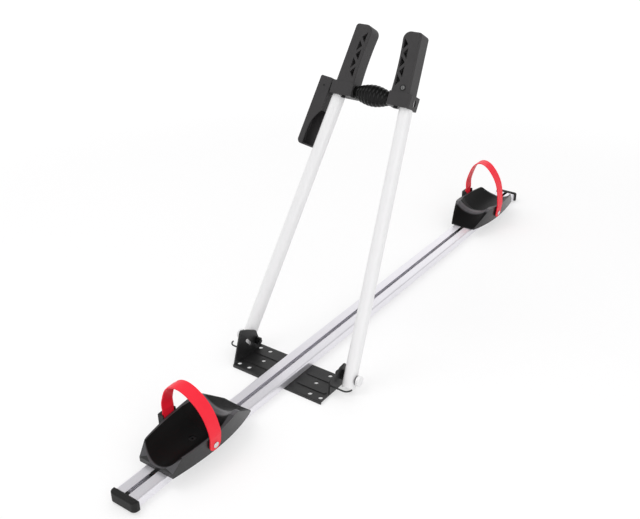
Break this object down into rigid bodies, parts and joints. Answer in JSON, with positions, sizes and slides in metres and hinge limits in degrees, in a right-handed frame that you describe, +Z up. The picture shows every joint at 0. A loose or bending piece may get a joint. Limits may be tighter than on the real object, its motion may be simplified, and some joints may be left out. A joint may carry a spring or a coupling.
{
  "type": "roof mounted bike carrier",
  "caption": "Roof bike carrier: slotted rail on a roof bar bracket, wheel trays with straps, and folding arms that end in a screw clamp for the frame tube.",
  "frame": {"origin": "on the roof bar, under the middle of the base bracket's rubber pad", "axes": "+X along the rail towards the far wheel tray, the way the arms lean; +Y to the car's left across the rail; +Z up"},
  "size_m": [1.354, 0.28, 0.5692],
  "materials": {
    "rail_aluminium": "satin anodised",
    "black_plastic": "fine grain",
    "black_paint": "powder coated, satin",
    "pad_rubber": "matte",
    "zinc_steel": "zinc plated",
    "black_steel": "black oxide",
    "white_paint": "gloss powder coat",
    "charcoal_plastic": "fine grain, satin",
    "lock_chrome": "polished",
    "lock_ring": "satin",
    "rod_steel": "bright turned",
    "bellows_plastic": "glossy",
    "tray_plastic": "satin gloss",
    "strap_plastic": "satin gloss",
    "rivet_aluminium": "bright"
  },
  "bodies": {
    "carrier_base": {"rail": "rail_aluminium", "near_end_cap": "black_plastic", "far_end_cap": "black_plastic", "base_bracket": "black_paint", "roof_bar_pad": "pad_rubber", "rail_bolts": "zinc_steel", "rail_nuts": "zinc_steel"},
    "arm_hinge": {"arm_pivot_bolts": "black_steel", "arm_pivot_caps": "white_paint", "arm_pivot_nuts": "black_steel", "arm_pivot_spacers": "black_plastic"},
    "left_arm": {"left_arm_tube": "white_paint", "left_clamp_block": "charcoal_plastic", "left_jaw": "charcoal_plastic", "left_jaw_bolt": "black_steel", "clamp_bellows": "bellows_plastic", "clamp_spring": "rod_steel"},
    "rod_seat": {"thrust_washer": "zinc_steel"},
    "clamp_screw": {"clamp_rod": "rod_steel", "clamp_lever": "charcoal_plastic", "lever_pin": "black_steel"},
    "right_arm": {"right_arm_tube": "white_paint", "right_clamp_block": "charcoal_plastic", "right_jaw": "charcoal_plastic", "right_jaw_bolt": "black_steel", "lock_bezel": "lock_ring"},
    "lock_core": {"lock_barrel": "lock_chrome"},
    "swivel_nut": {"rod_nut": "rod_steel"},
    "near_tray": {"near_wheel_tray": "tray_plastic", "near_tray_slider": "black_plastic", "near_tray_screw": "black_steel", "near_strap": "strap_plastic", "near_strap_rivet": "rivet_aluminium", "near_buckle": "black_plastic", "near_buckle_pin": "black_steel"},
    "near_ratchet": {"near_buckle_lever": "black_plastic"},
    "far_tray": {"far_wheel_tray": "tray_plastic", "far_tray_slider": "black_plastic", "far_tray_screw": "black_steel", "far_strap": "strap_plastic", "far_strap_rivet": "rivet_aluminium", "far_buckle": "black_plastic", "far_buckle_pin": "black_steel"},
    "far_ratchet": {"far_buckle_lever": "black_plastic"}
  },
  "joints": [
    {"name": "arm_fold", "type": "hinge", "parent": "carrier_base", "child": "arm_hinge", "pos_m": [0.0258, 0, 0.0245], "axis": [0, 1, 0], "range_deg": [-40, 57]},
    {"name": "left_swing", "type": "hinge", "parent": "arm_hinge", "child": "left_arm", "pos_m": [0.0258, 0.118, 0.0245], "axis": [0.8643, 0, -0.503], "range_deg": [0, 2.6], "deforming": ["clamp_bellows", "clamp_spring"]},
    {"name": "right_swing", "type": "hinge", "parent": "arm_hinge", "child": "right_arm", "pos_m": [0.0258, -0.118, 0.0245], "axis": [0.8643, 0, -0.503], "range_deg": [-2.6, 0], "deforming": ["clamp_bellows", "clamp_spring"]},
    {"name": "rod_swivel", "type": "hinge", "parent": "left_arm", "child": "rod_seat", "pos_m": [0.27681, 0.046, 0.45577], "axis": [0.8643, 0, -0.503], "range_deg": [-2.6, 0]},
    {"name": "rod_spin", "type": "hinge", "parent": "rod_seat", "child": "clamp_screw", "pos_m": [0.27681, 0, 0.45577], "axis": [0, 1, 0], "continuous": true},
    {"name": "nut_swivel", "type": "hinge", "parent": "right_arm", "child": "swivel_nut", "pos_m": [0.27681, -0.046, 0.45577], "axis": [0.8643, 0, -0.503], "range_deg": [0, 2.6]},
    {"name": "lock_turn", "type": "hinge", "parent": "right_arm", "child": "lock_core", "pos_m": [0.28762, -0.063, 0.47436], "axis": [0.8643, 0, -0.503], "range_deg": [0, 90]},
    {"name": "near_tray_slide", "type": "slide", "parent": "carrier_base", "child": "near_tray", "axis": [1, 0, 0], "range_m": [-0.045, 0.11]},
    {"name": "near_ratchet_lift", "type": "hinge", "parent": "near_tray", "child": "near_ratchet", "pos_m": [-0.258, 0.0572, 0.0425], "axis": [1, 0, 0], "range_deg": [-60, 0]},
    {"name": "far_tray_slide", "type": "slide", "parent": "carrier_base", "child": "far_tray", "axis": [1, 0, 0], "range_m": [-0.15, 0.035]},
    {"name": "far_ratchet_lift", "type": "hinge", "parent": "far_tray", "child": "far_ratchet", "pos_m": [0.807, 0.0572, 0.0425], "axis": [1, 0, 0], "range_deg": [-60, 0]}
  ],
  "couplings": [
    {"joint": "right_swing", "follows": "left_swing", "ratio": -1},
    {"joint": "rod_swivel", "follows": "left_swing", "ratio": -1},
    {"joint": "nut_swivel", "follows": "left_swing", "ratio": 1}
  ]
}
